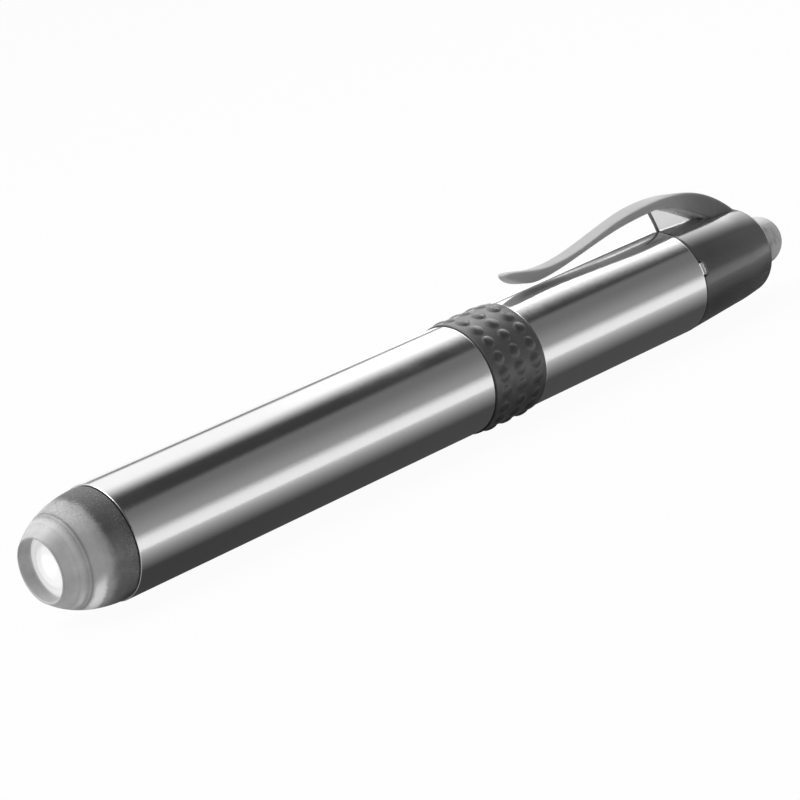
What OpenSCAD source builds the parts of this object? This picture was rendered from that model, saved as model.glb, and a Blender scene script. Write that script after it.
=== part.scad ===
// A pocket penlight: steel barrel in two halves that screw together under a rubber
// grip ring, frosted nose with a lens, and a tail cap with a strap clip and a push-button.
// The long axis is X with the nose towards -X, and the clip lies on the +Z side.
// The origin is on the axis, halfway along the front tube. All sizes are millimetres.

/* [Cells] */
// Diameter of one cell over its jacket
cell_d = 10.5; // [9.8:0.1:14.5]
// Length of one cell with its nub
cell_l = 44.5; // [40:0.5:50.5]
// Diameter of the positive nub
cell_nub_d = 3.8; // [3:0.1:4.4]
// Height of the positive nub
cell_nub_h = 0.8; // [0.6:0.1:1.2]

/* [Barrel] */
// Wall of both tubes
tube_wall = 0.5; // [0.4:0.05:0.8]
// Length of the rear tube
rear_tube_l = 31.25; // [26:0.25:40]
// Break of the tubes' outer edges
tube_edge = 0.1; // [0.05:0.01:0.15]
// Wall of the coupler beside its thread
coupler_wall = 0.45; // [0.4:0.05:0.8]
// Wall of the threaded bush in the rear tube
bush_wall = 0.45; // [0.4:0.05:0.8]
// How far the coupler reaches into the front tube
coupler_stub_l = 8; // [6:0.5:12]
// Length of the threaded bush
bush_l = 6; // [5:0.5:7]
// Pitch of the coupler's thread
thread_pitch = 1; // [0.75:0.25:1.5]
// Depth of the coupler's thread
thread_depth = 0.15; // [0.1:0.01:0.18]
// Wall of the sleeve round the cells
sleeve_wall = 0.2; // [0.15:0.05:0.4]

/* [Grip ring] */
// Width of the grip ring's place between the tubes
grip_w = 9.25; // [8:0.25:12]
// Height of the grip ring above the tubes
grip_rise = 0.18; // [0.06:0.02:0.6]
// Rounding of the grip ring's edges
grip_edge = 0.15; // [0.1:0.01:0.3]
// Nubs in one row round the ring
nub_count = 20; // [12:1:22]
// Rows of nubs along the ring
nub_rows = 3; // [1:1:3]
// Distance between rows of nubs
nub_pitch = 2.8; // [2.2:0.05:2.9]
// Diameter of a nub at its foot
nub_d = 1.65; // [1.2:0.05:1.8]
// Height of a nub above the ring
nub_h = 0.22; // [0.2:0.02:0.5]

/* [Nose] */
// Length of the nose in front of the tube
nose_l = 8.6; // [8.2:0.1:11]
// Step from the tube down to the nose
nose_step = 0.15; // [0.05:0.01:0.3]
// Diameter of the light opening
opening_d = 7.5; // [6.8:0.1:7.8]
// Wall of the nose at its lip
lip_wall = 0.3; // [0.2:0.05:0.5]
// Depth of the lens behind the lip
lens_depth = 1.8; // [1.2:0.1:2]
// Thickness of the lens at its rim
lens_rim_t = 1.3; // [1:0.1:1.4]
// Bulge of the lens towards the front
lens_bulge = 0.6; // [0.4:0.1:0.9]
// Bulge of the lens towards the lamp
lens_back_bulge = 0.25; // [0.1:0.05:0.35]
// Width of the shoulder that the lens seats on
lens_seat = 0.65; // [0.4:0.05:0.75]
// Length of the neck inside the tube
neck_l = 5.3; // [4.5:0.1:8]
// Wall of the neck
neck_wall = 1.1; // [0.95:0.05:1.3]

/* [Lamp] */
// Diameter of the lamp's clear body
led_d = 5; // [4.6:0.1:5.2]
// Width of the lamp's flange beyond its body
led_flange = 0.4; // [0.3:0.05:0.5]
// Thickness of the lamp's flange
led_flange_t = 1; // [0.8:0.1:1.3]
// Distance between the lamp's two leads
lead_pitch = 2.54; // [2.2:0.02:2.8]
// Diameter of a lead
lead_d = 0.5; // [0.4:0.02:0.6]
// Thickness of the lamp board
board_t = 1; // [0.8:0.1:1.4]
// Wall of the reflector cup
reflector_wall = 0.35; // [0.25:0.05:0.5]
// Length of the reflector cup
reflector_l = 3.6; // [3:0.1:4]
// Diameter of the front contact's plate
front_contact_d = 4.4; // [4:0.1:4.6]
// Width of the ground ring's inner opening
ground_ring_bore_d = 8.6; // [8.4:0.1:9.6]

/* [Tail cap] */
// Length of the cap behind the tube
cap_l = 15.4; // [15:0.1:20]
// Length of the cap's spigot inside the tube
spigot_l = 5.5; // [5:0.1:9]
// How much the cap narrows over its straight flank
cap_taper = 0.6; // [0.4:0.05:0.7]
// How much more it narrows over its round end
cap_round_in = 0.43; // [0.2:0.01:0.5]
// Length of the round end in front of its rim
cap_round_l = 4.5; // [3.5:0.1:6]
// Rounding of the cap's end rim
cap_rim_r = 0.9; // [0.5:0.05:1.1]
// Thickness of the cap's end wall
cap_end_wall = 1.4; // [1:0.1:1.6]
// Length of the slot in the cap's front edge
slot_l = 0.7; // [0.5:0.05:0.8]
// Width of the slot in the cap's front edge
slot_w = 1.95; // [1.8:0.05:2.4]
// Angle of the slot from the clip towards -Y
slot_angle = 77; // [70:1:90]

/* [Push-button] */
// Diameter of the button
button_d = 6.8; // [6:0.1:6.9]
// How far the button stands out of the cap
button_out = 7; // [6:0.1:9]
// Travel of the button
button_travel = 2; // [1.4:0.1:2.1]
// Width of the button's flange beyond its body
button_flange = 1.3; // [0.8:0.1:1.35]
// Thickness of the button's flange
button_flange_t = 1.1; // [0.8:0.1:1.2]
// Wall of the button
button_wall = 1; // [0.8:0.1:1.3]

/* [Clip] */
// Length from the crest to the tip
clip_l = 28.1; // [26:0.1:33]
// Rise of the crest above the tube
crest_rise = 4.38; // [4.2:0.01:5.4]
// Rise of the clip's top at its lowest place
valley_rise = 1.9; // [1.75:0.05:2.4]
// Rise of the tip above the tube
tip_rise = 2.9; // [2.7:0.05:3.9]
// Gap between the clip's pad and the tube
pad_gap = 0.6; // [0.45:0.05:0.75]
// Width of the strap
strap_w = 3; // [2.6:0.1:3.6]
// Width of the strap over its crest
crest_w = 4.1; // [3.6:0.1:4.6]
// Width of the strap where it ends on the cap
root_w = 3.3; // [2.8:0.1:3.8]
// Thickness of the strap at its crest
crest_t = 1.3; // [1.1:0.05:1.5]
// Thickness of the thin web under the arch
web_t = 0.9; // [0.7:0.1:1.6]

/* [Springs and contacts] */
// Length of the fitted tail spring
tail_spring_l = 3.9; // [3.5:0.1:6]
// Wire of the tail spring
tail_wire_d = 0.5; // [0.4:0.05:0.55]
// Turns of the tail spring
tail_turns = 3; // [2:0.5:4]
// Mean diameter of the tail spring's wide end
tail_wide_d = 7.2; // [6.4:0.1:7.6]
// Mean diameter of the tail spring's narrow end
tail_narrow_d = 3.8; // [3.2:0.1:4.2]
// Wire of the button spring
button_wire_d = 0.35; // [0.3:0.05:0.4]
// Turns of the button spring
button_turns = 4; // [3:0.5:4.5]
// Mean diameter of the button spring
button_spring_d = 4.8; // [4.6:0.1:5.2]
// Thickness of the sheet-metal contacts
sheet_t = 0.25; // [0.2:0.05:0.3]
// Width of the ground strip
strip_w = 1.6; // [1.2:0.1:1.7]

/* [Fits] */
// Radial clearance of pieces that turn or slide
running_gap = 0.05; // [0.03:0.01:0.08]
// Radial clearance of pieces that are pressed or glued
press_gap = 0.03; // [0.02:0.01:0.05]
// Visible gap line where a tube ends
seam_gap = 0.15; // [0.1:0.01:0.25]

/* [Hidden] */

// Fineness of turned shapes, of curves and of spring wire
turn_fn = 96;
curve_steps = 10;
wire_sides = 6;
turn_steps = 20;
// Overrun of every cut
over = 1;
// Gap between flat faces that rest on each other through a thin part
face_gap = 0.05;

// Radii from the cells outwards
cell_r = cell_d / 2;
sleeve_ri = cell_r + running_gap;
sleeve_ro = sleeve_ri + sleeve_wall;
coupler_ri = sleeve_ro + running_gap;
thread_r = coupler_ri + coupler_wall;
bush_ri = thread_r + running_gap;
bush_ro = bush_ri + bush_wall - press_gap;
tube_ri = bush_ro + press_gap;
tube_r = tube_ri + tube_wall;
stub_r = tube_ri - press_gap;
shoulder_share = 0.4;
shoulder_r = tube_ri + tube_wall * shoulder_share;
grip_r = tube_r + grip_rise;

// Lamp end, measured back from the nose seam
contact_nub_h = 0.6;
contact_nub_r = 1.5;
lamp_back = neck_l;
contact_reach = lamp_back + face_gap + sheet_t + contact_nub_h + face_gap;
// Where the tail contact's face lies behind the cap's seam
tail_contact_set = 1.7;

// Places along the barrel
tube_run = contact_reach + 2 * cell_l + tail_spring_l - tail_contact_set;
front_tube_l = tube_run - grip_w - rear_tube_l;
nose_x = -front_tube_l / 2;
grip_x = nose_x + front_tube_l;
rear_tube_x = grip_x + grip_w;
cap_x = rear_tube_x + rear_tube_l;
stack_x = nose_x + contact_reach;
stack_end_x = stack_x + 2 * cell_l;

// Nose
nose_r = tube_r - nose_step;
opening_r = opening_d / 2;
lip_x = nose_x - nose_l;
lip_r = lip_wall / 2;
// Length of the ellipse whose front is cut off by the lip
nose_curve_l = (nose_l - lip_r) / sqrt(1 - pow((opening_r + lip_wall) / nose_r, 2));
lens_r = opening_r + lens_seat;
lens_x = lip_x + lens_depth;
lens_back_x = lens_x + lens_rim_t;
neck_ri = stub_r - neck_wall;
neck_end_x = nose_x + neck_l;
oring_wire_r = 0.35;
nose_oring_set = 1.9;
nose_oring_x = nose_x + nose_oring_set;

// Cell pieces
jacket_t = 0.12;
jacket_gap = 0.02;
can_r = cell_r - jacket_t - jacket_gap;
jacket_lip_r = 3.5;
jacket_lip_t = 0.2;
jacket_short = 0.3;
nub_edge = 0.2;

// Lamp holder and what it carries
holder_r = neck_ri - press_gap;
holder_x = lens_back_x + lens_back_bulge + face_gap;
board_x = neck_end_x - board_t;
board_rim = 0.35;
board_r = holder_r - board_rim;
led_r = led_d / 2;
led_flange_r = led_r + led_flange;
led_l = 8.6;
led_tip_x = board_x - face_gap - led_l;
reflector_x = holder_x;
reflector_end_x = reflector_x + reflector_l;
reflector_hole_gap = 0.12;
reflector_hole_r = led_r + reflector_hole_gap;
reflector_mouth_set = 0.35;
reflector_mouth_r = lens_r - reflector_mouth_set;
ground_ring_x = neck_end_x + face_gap;
sleeve_x = ground_ring_x + sheet_t + face_gap;
sleeve_lip_t = 0.3;
resistor_l = 1.6;
resistor_w = 0.8;
resistor_h = 0.45;
sleeve_reach = 6.2;
sleeve_end_x = rear_tube_x + sleeve_reach;

// Joint between the halves
joint_wire_slack = 0.01;
joint_wire_r = (tube_ri - thread_r) / 2 - joint_wire_slack;
bush_set = 0.25;
bush_x = rear_tube_x + 2 * joint_wire_r + bush_set;
coupler_end_x = bush_x + bush_l;
// Steps of one turn of the thread, as shares of its depth and of its pitch
thread_steps_share = [[0, 0], [0, 0.4], [1, 0.55], [1, 0.85]];

// Cap and switch, measured back from the cap's seam
cap_step = 0.03;
cap_r = tube_r - cap_step;
cap_end_x = cap_x + cap_l;
cap_flank_r = cap_r - cap_taper;
cap_rim_x = cap_end_x - cap_rim_r;
cap_round_x = cap_rim_x - cap_round_l;
cap_rim_top_r = cap_flank_r - cap_round_in;
cap_round_power = 1.5;
spigot_x = cap_x - spigot_l;
cap_bore_gap = 0.2;
cap_bore_r = cell_r + cap_bore_gap;
cap_oring_set = 0.95;
cap_oring_x = spigot_x + cap_oring_set;
cap_wire_r = 0.26;
switch_r = cap_bore_r - running_gap;
contact_face_x = stack_end_x + tail_spring_l;
contact_head_t = 0.5;
switch_x = contact_face_x + contact_head_t;
switch_wall_t = 1.2;
strip_leg_x = switch_x - face_gap - sheet_t;
retainer_set = 0.5;
retainer_x = cap_x + retainer_set;
retainer_end_x = strip_leg_x - face_gap;
retainer_ri = 4.2;
switch_cavity_x = switch_x + switch_wall_t;
switch_cup_wall = 1;
switch_cavity_r = switch_r - switch_cup_wall;
lid_t = 1;
end_wall_x = cap_end_x - cap_end_wall;
flange_x = end_wall_x - face_gap - button_flange_t;
flange_room = 0.2;
lid_end_x = flange_x - button_travel - flange_room;
lid_x = lid_end_x - lid_t;
post_r = 1;
disc_t = 0.3;
disc_gap = 0.1;
// Length of the post and of the plunger's collar, as shares of the room that the travel leaves
post_share = 0.39;
collar_share = 0.26;
spare_room = lid_x - switch_cavity_x - button_travel - disc_gap - disc_t;
post_l = post_share * spare_room;
collar_t = collar_share * spare_room;
rivet_r = 0.9;
rivet_foot_r = 1.8;
contact_head_r = 2.4;
post_end_x = switch_cavity_x + post_l;
disc_x = post_end_x + button_travel + disc_gap;
disc_edge_gap = 0.5;
disc_r = switch_cavity_r - disc_edge_gap;

// Button and plunger
button_r = button_d / 2;
button_dome_x = cap_end_x + button_out - button_r;
button_cavity_r = button_r - button_wall;
button_crown = 1.1;
button_cavity_end_x = button_dome_x - button_crown;
button_gap = 0.1;
rod_r = 1.65;
pin_r = 0.8;
plunger_edge = 0.4;
collar_r = 3;

// Ground strip and its slot
strip_depth = 0.08;
strip_r = stub_r - strip_depth;
strip_set = 2.2;
strip_start_x = spigot_x + strip_set;
strip_fold_h = 0.4;
strip_fold_t = 0.5;
strip_fold_set = 0.25;
finger_r = 3.1;
channel_gap = 0.1;
channel_w = strip_w + channel_gap;

// Clip: places along X and heights of its side outline
crest_set = 0.6;
crest_x = cap_x - crest_set;
tip_x = crest_x - clip_l;
crest_z = tube_r + crest_rise;
valley_z = tube_r + valley_rise;
tip_z = tube_r + tip_rise;
pad_z = tube_r + pad_gap;
root_reach = 0.1;
root_end_x = cap_rim_x + root_reach;
root_sink = 0.2;
root_end_z = cap_rim_top_r - root_sink;
tip_lift = 0.3;
tip_round_l = 3;
flare_l = 9;
flare_x = crest_x - flare_l;
knuckle_inset = 0.01;
knuckle_r = crest_t / 2 - knuckle_inset;
hinge_set = 1.4;
hinge_x = cap_x - hinge_set;
hinge_z = crest_z - crest_t / 2;
web_foot_set = 0.85;
web_foot_x = cap_x + web_foot_set;
web_lean = 1.35;
web_end_x = cap_round_x;
// Bow of the web's front edge, as shares of its lean and of its height
web_bow_share = [0.55, 0.35, 0.1, 0.6];
// Where the lowest places of the top and of the pad lie, and the reach of the curves'
// handles, as shares of the clip's length
valley_share = 0.712;
pad_share = 0.818;
tip_handles_share = [0.075, 0.14];
rise_handles_share = [0.249, 0.285];
pad_handles_share = [0.025, 0.08];
under_handles_share = [0.196, 0.32];
// The same for the arch, as shares of its length and of its fall
arch_l = root_end_x - crest_x;
arch_fall = crest_z - root_end_z;
arch_handles_share = [0.36, 0.69];
arch_drop_share = 0.31;
arch_under_handles_share = [0.2, 0.5];
arch_under_drop_share = 0.23;
arch_under_end_share = 0.85;

valley_x = crest_x - valley_share * clip_l;
pad_x = crest_x - pad_share * clip_l;

// A cubic curve through its first and last of four points
function curve_point(p, t) =
    p[0] * pow(1 - t, 3) + p[1] * 3 * t * pow(1 - t, 2)
    + p[2] * 3 * t * t * (1 - t) + p[3] * pow(t, 3);
function curve(p, steps) = [for (i = [0 : steps]) curve_point(p, i / steps)];
function reversed(list) = [for (i = [len(list) - 1 : -1 : 0]) list[i]];

// Side outline of the whole clip, from its tip over the crest to the cap and back
strap_top = concat(
    curve([[tip_x, tip_z],
           [tip_x + tip_handles_share[0] * clip_l, tip_z + tip_lift],
           [valley_x - tip_handles_share[1] * clip_l, valley_z],
           [valley_x, valley_z]], curve_steps),
    curve([[valley_x, valley_z],
           [valley_x + rise_handles_share[0] * clip_l, valley_z],
           [crest_x - rise_handles_share[1] * clip_l, crest_z],
           [crest_x, crest_z]], curve_steps),
    curve([[crest_x, crest_z],
           [crest_x + arch_handles_share[0] * arch_l, crest_z],
           [crest_x + arch_handles_share[1] * arch_l, crest_z - arch_drop_share * arch_fall],
           [root_end_x, root_end_z]], curve_steps)
);
strap_under = concat(
    curve([[tip_x, tip_z],
           [tip_x + pad_handles_share[0] * clip_l, (tip_z + pad_z) / 2],
           [pad_x - pad_handles_share[1] * clip_l, pad_z],
           [pad_x, pad_z]], curve_steps),
    curve([[pad_x, pad_z],
           [pad_x + under_handles_share[0] * clip_l, pad_z],
           [crest_x - under_handles_share[1] * clip_l, crest_z - crest_t],
           [crest_x, crest_z - crest_t]], curve_steps),
    curve([[crest_x, crest_z - crest_t],
           [crest_x + arch_under_handles_share[0] * arch_l, crest_z - crest_t],
           [crest_x + arch_under_handles_share[1] * arch_l,
            crest_z - crest_t - arch_under_drop_share * arch_fall],
           [crest_x + arch_under_end_share * arch_l, root_end_z]], curve_steps)
);

// Turned piece about the long axis, from an outline of [radius, place along X]
module turned(outline) {
    rotate([0, 90, 0]) rotate_extrude($fn = turn_fn) polygon(outline);
}

// Round bar about the long axis
module bar(r, x0, x1) {
    translate([x0, 0, 0]) rotate([0, 90, 0]) cylinder(h = x1 - x0, r = r, $fn = turn_fn);
}

// Ring of round wire about the long axis
module wire_ring(r, wire_r, x) {
    translate([x, 0, 0]) rotate([0, 90, 0])
        rotate_extrude($fn = turn_fn) translate([r, 0]) circle(r = wire_r, $fn = turn_fn / 4);
}

// Plain tube with a wall from r0 to r1
module pipe(r0, r1, x0, x1) {
    turned([[r0, x0], [r1, x0], [r1, x1], [r0, x1]]);
}

// Tube of the barrel with its outer edges broken
module barrel_tube(x0, x1) {
    turned([
        [tube_ri, x0], [tube_r - tube_edge, x0], [tube_r, x0 + tube_edge],
        [tube_r, x1 - tube_edge], [tube_r - tube_edge, x1], [tube_ri, x1]
    ]);
}

// Round wire wound about the long axis, from radius r0 at x0 to r1 at x1
module coil(r0, r1, x0, x1, wire_r, turns) {
    rings = turns * turn_steps;
    points = [
        for (i = [0 : rings], k = [0 : wire_sides - 1])
        let (turn = 360 * turns * i / rings,
             side = 360 * k / wire_sides,
             r = r0 + (r1 - r0) * i / rings + wire_r * cos(side),
             x = x0 + wire_r + (x1 - x0 - 2 * wire_r) * i / rings + wire_r * sin(side))
        [x, r * sin(turn), r * cos(turn)]
    ];
    walls = [
        for (i = [0 : rings - 1], k = [0 : wire_sides - 1])
        let (a = i * wire_sides + k,
             b = i * wire_sides + (k + 1) % wire_sides)
        [a, a + wire_sides, b + wire_sides, b]
    ];
    first = [for (k = [0 : wire_sides - 1]) k];
    last = [for (k = [wire_sides - 1 : -1 : 0]) rings * wire_sides + k];
    polyhedron(points, concat(walls, [first, last]));
}

// Clear room in front of the hinge plane of the clip
module in_front_of_hinge() {
    translate([tip_x - over, -crest_w, 0]) cube([hinge_x - tip_x + over, 2 * crest_w, crest_z + over]);
}

// Extrudes a side outline across the clip
module side_slab(outline, w) {
    rotate([90, 0, 0]) linear_extrude(height = w, center = true) polygon(outline);
}

// Column with the clip's outline seen from above
module clip_plan() {
    edge = concat(
        [for (i = [0 : curve_steps])
            let (a = 90 * i / curve_steps)
            [tip_x + tip_round_l * (1 - cos(a)), strap_w / 2 * sin(a)]],
        curve([[flare_x, strap_w / 2], [(flare_x + crest_x) / 2, strap_w / 2],
               [(flare_x + crest_x) / 2, crest_w / 2], [crest_x, crest_w / 2]], curve_steps),
        [[root_end_x + over, root_w / 2]]
    );
    other = [for (p = reversed(edge)) [p[0], -p[1]]];
    linear_extrude(height = crest_z + over) polygon(concat(edge, other));
}

// The whole strap from its tip to the cap's rim
module strap() {
    intersection() {
        side_slab(concat(strap_top, reversed(strap_under)), 2 * crest_w);
        clip_plan();
    }
}

module knuckle(r) {
    translate([hinge_x, 0, hinge_z]) rotate([90, 0, 0])
        cylinder(h = 2 * crest_w, r = r, center = true, $fn = turn_fn / 2);
}

// Frosted bullet-shaped nose, hollow, with the seat for the lens and the neck for the tube
module nose_cone() {
    groove_r = tube_ri - 2 * oring_wire_r - press_gap - face_gap;
    groove_half = oring_wire_r + face_gap;
    lip_turn = asin((nose_l - lip_r) / nose_curve_l);
    seam_turn = asin(seam_gap / nose_curve_l);
    color("gainsboro", 0.7) turned(concat(
        [for (a = [0 : 30 : 180])
            [opening_r + lip_r * (1 - cos(a)), lip_x + lip_r * (1 - sin(a))]],
        [for (i = [1 : turn_steps])
            let (a = lip_turn + (seam_turn - lip_turn) * i / turn_steps)
            [nose_r * cos(a), nose_x - nose_curve_l * sin(a)]],
        [
            [stub_r, nose_x - seam_gap],
            [stub_r, nose_oring_x - groove_half],
            [groove_r, nose_oring_x - groove_half],
            [groove_r, nose_oring_x + groove_half],
            [stub_r, nose_oring_x + groove_half],
            [stub_r, neck_end_x],
            [neck_ri, neck_end_x],
            [neck_ri, lens_back_x],
            [lens_r + press_gap, lens_back_x],
            [lens_r + press_gap, lens_x],
            [opening_r, lens_x]
        ]
    ));
}

// Clear lens with a bulge on both faces
module lens() {
    front_r = opening_r - running_gap;
    back_r = opening_r - lens_back_bulge;
    color("white", 0.8) turned(concat(
        [for (i = [0 : curve_steps])
            let (s = i / curve_steps)
            [front_r * s, lens_x - lens_bulge * (1 - s * s)]],
        [[lens_r, lens_x], [lens_r, lens_back_x]],
        [for (i = [0 : curve_steps])
            let (s = 1 - i / curve_steps)
            [back_r * s, lens_back_x + lens_back_bulge * (1 - s * s)]]
    ));
}

// Bright cup round the lamp
module reflector() {
    color("silver") turned([
        [reflector_mouth_r, reflector_x],
        [reflector_mouth_r + reflector_wall, reflector_x],
        [reflector_hole_r + reflector_wall, reflector_end_x],
        [reflector_hole_r, reflector_end_x]
    ]);
}

// Domed lamp with its flange
module led() {
    flange_x = board_x - face_gap - led_flange_t;
    color("white") turned(concat(
        [for (a = [0 : 10 : 90]) [led_r * sin(a), led_tip_x + led_r * (1 - cos(a))]],
        [
            [led_r, flange_x],
            [led_flange_r, flange_x],
            [led_flange_r, board_x - face_gap],
            [0, board_x - face_gap]
        ]
    ));
}

// Two leads of the lamp, soldered into the board
module led_leads() {
    color("lightgray")
        for (side = [-1, 1])
            translate([board_x - face_gap, side * lead_pitch / 2, 0]) rotate([0, 90, 0])
                cylinder(h = board_t + face_gap, d = lead_d, $fn = 24);
}

// Dark insulating holder that carries the lamp, the reflector and the board
module lamp_holder() {
    cone_r = reflector_wall + press_gap;
    flange_x = board_x - face_gap - led_flange_t - face_gap;
    color("dimgray") turned([
        [reflector_mouth_r + cone_r, holder_x],
        [holder_r, holder_x],
        [holder_r, neck_end_x],
        [board_r + press_gap, neck_end_x],
        [board_r + press_gap, board_x],
        [led_flange_r + press_gap, board_x],
        [led_flange_r + press_gap, flange_x],
        [led_r + press_gap, flange_x],
        [led_r + press_gap, reflector_end_x + face_gap],
        [reflector_hole_r + cone_r, reflector_end_x + face_gap]
    ]);
}

// Round board behind the lamp
module lamp_board() {
    color("darkgreen") difference() {
        bar(board_r, board_x, neck_end_x);
        for (side = [-1, 1])
            translate([board_x - over, side * lead_pitch / 2, 0]) rotate([0, 90, 0])
                cylinder(h = board_t + 2 * over, d = lead_d + 2 * running_gap, $fn = 24);
    }
}

// Small resistor on the back of the board
module resistor() {
    inner_r = (front_contact_d + ground_ring_bore_d) / 4 - resistor_w / 2;
    color("black") translate([neck_end_x, -resistor_l / 2, inner_r])
        cube([resistor_h, resistor_l, resistor_w]);
}

// Brass plate with a nub that meets the front cell
module front_contact() {
    plate_x = neck_end_x + face_gap;
    plate_r = front_contact_d / 2;
    color("goldenrod") turned([
        [0, plate_x],
        [plate_r, plate_x],
        [plate_r, plate_x + sheet_t],
        [contact_nub_r, plate_x + sheet_t],
        [contact_nub_r, plate_x + sheet_t + contact_nub_h],
        [0, plate_x + sheet_t + contact_nub_h]
    ]);
}

// Thin ring that joins the board's edge to the steel tube
module ground_ring() {
    color("goldenrod") pipe(ground_ring_bore_d / 2, stub_r, ground_ring_x, ground_ring_x + sheet_t);
}

module nose_oring() {
    color("black") wire_ring(tube_ri - oring_wire_r - press_gap, oring_wire_r, nose_oring_x);
}

module front_tube() {
    color("lightsteelblue") barrel_tube(nose_x, grip_x);
}

// Thin insulating sleeve round the cells, with a flange that centres it in the tube
module battery_sleeve() {
    lip_ri = ground_ring_bore_d / 2;
    lip_x1 = sleeve_x + sleeve_lip_t;
    color("ivory") turned([
        [lip_ri, sleeve_x], [stub_r, sleeve_x], [stub_r, lip_x1], [sleeve_ro, lip_x1],
        [sleeve_ro, sleeve_end_x], [sleeve_ri, sleeve_end_x], [sleeve_ri, lip_x1], [lip_ri, lip_x1]
    ]);
}

// Steel can of a cell whose nub starts at x
module cell_can(x) {
    bar(can_r, x + cell_nub_h + jacket_lip_t + face_gap, x + cell_l);
}

// Printed jacket of a cell, turned in over the can's shoulder
module cell_jacket(x) {
    jacket_ri = can_r + jacket_gap;
    lip_x0 = x + cell_nub_h;
    lip_x1 = lip_x0 + jacket_lip_t;
    end_x = x + cell_l - jacket_short;
    turned([
        [jacket_lip_r, lip_x0], [cell_r, lip_x0], [cell_r, end_x],
        [jacket_ri, end_x], [jacket_ri, lip_x1], [jacket_lip_r, lip_x1]
    ]);
}

// Positive cap of a cell, with its nub
module cell_cap(x) {
    nub_r = cell_nub_d / 2;
    foot_x = x + cell_nub_h;
    foot_r = jacket_lip_r - face_gap;
    turned([
        [0, x], [nub_r - nub_edge, x], [nub_r, x + nub_edge], [nub_r, foot_x],
        [foot_r, foot_x], [foot_r, foot_x + jacket_lip_t], [0, foot_x + jacket_lip_t]
    ]);
}

module front_cell_can() {
    color("silver") cell_can(stack_x);
}

module front_cell_jacket() {
    color("teal") cell_jacket(stack_x);
}

module front_cell_cap() {
    color("silver") cell_cap(stack_x);
}

module rear_cell_can() {
    color("silver") cell_can(stack_x + cell_l);
}

module rear_cell_jacket() {
    color("teal") cell_jacket(stack_x + cell_l);
}

module rear_cell_cap() {
    color("silver") cell_cap(stack_x + cell_l);
}

// Sleeve that is pressed into the front tube, carries the grip ring and takes the thread
module coupler() {
    turns = floor(bush_l / thread_pitch);
    root_r = thread_r - thread_depth;
    color("silver") turned(concat(
        [
            [coupler_ri, grip_x - coupler_stub_l],
            [stub_r, grip_x - coupler_stub_l],
            [stub_r, grip_x],
            [shoulder_r, grip_x],
            [shoulder_r, rear_tube_x],
            [thread_r, rear_tube_x]
        ],
        [for (i = [0 : turns - 1], step = thread_steps_share)
            [thread_r - step[0] * thread_depth, bush_x + (i + step[1]) * thread_pitch]],
        [[root_r, coupler_end_x], [coupler_ri, coupler_end_x]]
    ));
}

// Rubber ring between the tubes, with rows of round nubs
module grip_ring() {
    x0 = grip_x + seam_gap;
    x1 = rear_tube_x - seam_gap;
    bore_r = shoulder_r + press_gap;
    ball_r = (nub_d * nub_d / 4 + nub_h * nub_h) / (2 * nub_h);
    color("darkslategray") difference() {
        union() {
            turned(concat(
                [[bore_r - over, x0]],
                [for (a = [0 : 15 : 90])
                    [grip_r - grip_edge * (1 - sin(a)), x0 + grip_edge * (1 - cos(a))]],
                [for (a = [90 : -15 : 0])
                    [grip_r - grip_edge * (1 - sin(a)), x1 - grip_edge * (1 - cos(a))]],
                [[bore_r - over, x1]]
            ));
            for (row = [0 : nub_rows - 1], i = [0 : nub_count - 1])
                rotate([360 * i / nub_count, 0, 0])
                    translate([(x0 + x1) / 2 + (row - (nub_rows - 1) / 2) * nub_pitch, 0,
                               grip_r + nub_h - ball_r])
                        sphere(r = ball_r, $fn = 32);
        }
        bar(bore_r, x0 - over, x1 + over);
    }
}

module joint_oring() {
    color("black") wire_ring((thread_r + tube_ri) / 2, joint_wire_r, rear_tube_x + joint_wire_r + face_gap);
}

// Cone-shaped spring between the rear cell and the tail contact
module tail_spring() {
    color("silver") coil(tail_wide_d / 2, tail_narrow_d / 2, stack_end_x + face_gap,
                         contact_face_x - face_gap, tail_wire_d / 2, tail_turns);
}

module rear_tube() {
    color("lightsteelblue") barrel_tube(rear_tube_x, cap_x);
}

// Bush pressed into the rear tube, whose inside takes the coupler's thread
module threaded_bush() {
    color("gray") pipe(bush_ri, bush_ro, bush_x, bush_x + bush_l);
}

// Thin web that stands on the cap and carries the arch
module web() {
    top_z = crest_z - crest_t / 2;
    foot_z = cap_flank_r - cap_end_wall / 2;
    rise = top_z - foot_z;
    side_slab(concat(
        curve([[web_foot_x - web_lean, top_z],
               [web_foot_x - web_lean * web_bow_share[0], top_z - web_bow_share[1] * rise],
               [web_foot_x - web_lean * web_bow_share[2], top_z - web_bow_share[3] * rise],
               [web_foot_x, foot_z]], curve_steps),
        [[web_end_x, foot_z],
         [web_end_x, crest_z - crest_t - arch_under_drop_share * arch_fall - crest_t],
         [crest_x + arch_handles_share[0] * arch_l, crest_z - crest_t]]
    ), web_t);
}

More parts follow.
